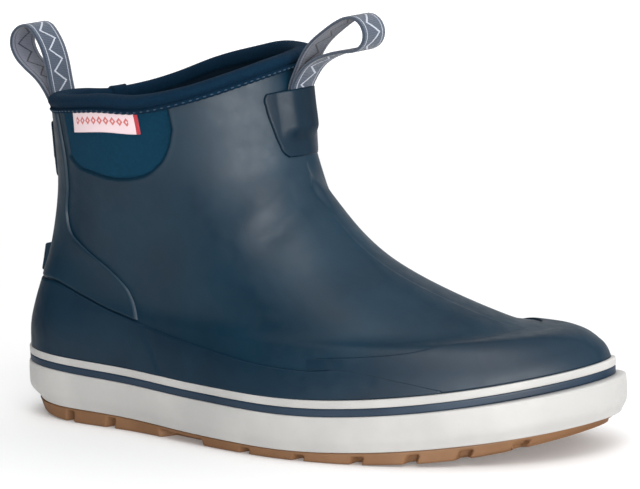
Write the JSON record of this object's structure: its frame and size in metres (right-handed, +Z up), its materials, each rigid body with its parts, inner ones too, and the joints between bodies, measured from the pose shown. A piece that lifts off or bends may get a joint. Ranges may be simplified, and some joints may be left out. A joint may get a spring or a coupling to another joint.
{
  "type": "deck boot",
  "caption": "Ankle-high pull-on deck boot for the right foot: rubber upper over a neoprene sock, foxed sole, webbing pull loops front and rear, removable footbed.",
  "frame": {"origin": "middle of the boot's overall footprint, at ground level", "axes": "+X towards the toe, +Y towards the inner (medial) side of this right boot, +Z up"},
  "size_m": [0.3046, 0.1132, 0.1864],
  "materials": {
    "navy_rubber": "satin moulded navy rubber",
    "navy_neoprene": "knit-faced navy neoprene",
    "sock_neoprene": "dark knit-faced neoprene",
    "white_rubber": "off-white rubber foxing",
    "stripe_navy": "navy rubber tape",
    "gum": "matte gum rubber",
    "foam": "closed-cell EVA foam",
    "board": "pressed fibre board",
    "steel": "plain spring steel",
    "stiffener": "thermoplastic stiffener sheet",
    "webbing": "patterned woven webbing",
    "label_cloth": "woven label"
  },
  "bodies": {
    "boot": {"outsole": "gum", "foxing_sidewall": "white_rubber", "foxing_stripe_navy": "stripe_navy", "foxing_stripe_white": "white_rubber", "midsole": "foam", "shank": "steel", "insole_board": "board", "upper_shell": "navy_rubber", "sock_lining": "sock_neoprene", "heel_stiffener": "stiffener", "toe_puff": "stiffener", "side_panel_lateral": "navy_neoprene", "side_panel_medial": "navy_neoprene", "mudguard": "navy_rubber", "toe_bumper": "navy_rubber", "backstay": "navy_rubber", "kick_tab": "navy_rubber", "collar_binding": "navy_neoprene", "label": "label_cloth", "front_loop_tail": "webbing", "front_loop_shield": "navy_rubber", "rear_loop_tail": "webbing", "rear_loop_shield": "navy_rubber"},
    "front_loop": {"front_pull_loop": "webbing"},
    "rear_loop": {"rear_pull_loop": "webbing"},
    "footbed": {"footbed_foam": "foam", "footbed_cover": "sock_neoprene"}
  },
  "joints": [
    {"name": "front_loop_swing", "type": "hinge", "parent": "boot", "child": "front_loop", "pos_m": [0.00825, 0.00535, 0.1559], "axis": [0, 1, 0], "range_deg": [-10, 55], "stiffness_Nm_per_rad": 0.05},
    {"name": "rear_loop_swing", "type": "hinge", "parent": "boot", "child": "rear_loop", "pos_m": [-0.12875, 0.00035, 0.147], "axis": [0, 1, 0], "range_deg": [-50, 5], "stiffness_Nm_per_rad": 0.05},
    {"name": "footbed_lift", "type": "hinge", "parent": "boot", "child": "footbed", "pos_m": [0.13335, 0.01, 0.028], "axis": [0, 1, 0], "range_deg": [0, 3]}
  ]
}
